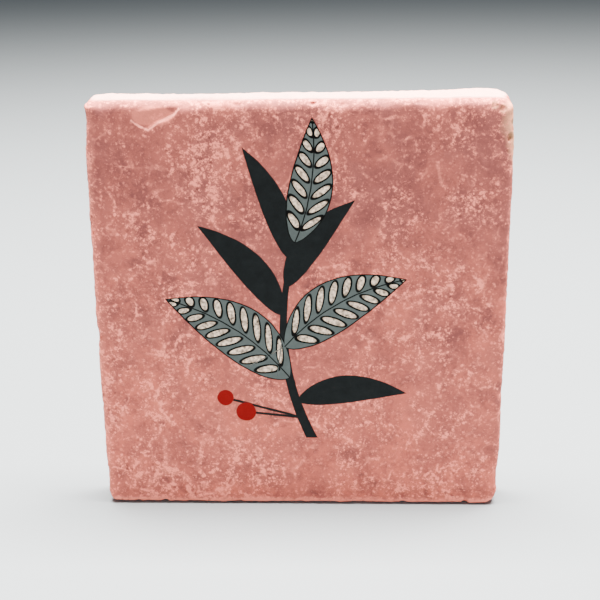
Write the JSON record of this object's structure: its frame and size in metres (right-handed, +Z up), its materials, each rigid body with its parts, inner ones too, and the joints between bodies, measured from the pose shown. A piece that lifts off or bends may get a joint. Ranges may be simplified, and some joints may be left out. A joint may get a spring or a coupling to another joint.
{
  "type": "ceramic tile",
  "caption": "Square tumbled ceramic wall tile with worn, chipped edges, a mottled rose face and a plain painted sprig.",
  "frame": {"origin": "centre of the flat back face, which is bonded to a wall", "axes": "+Z up along the tile's height, +Y out of the back into the wall, so the decorated face looks along -Y; +X to the right as seen from the front"},
  "size_m": [0.1002, 0.01, 0.1029],
  "materials": {
    "tile_body": "matt, mottled rose with pale flecks, worn edges"
  },
  "bodies": {
    "root": {"tile": "tile_body"}
  },
  "joints": []
}
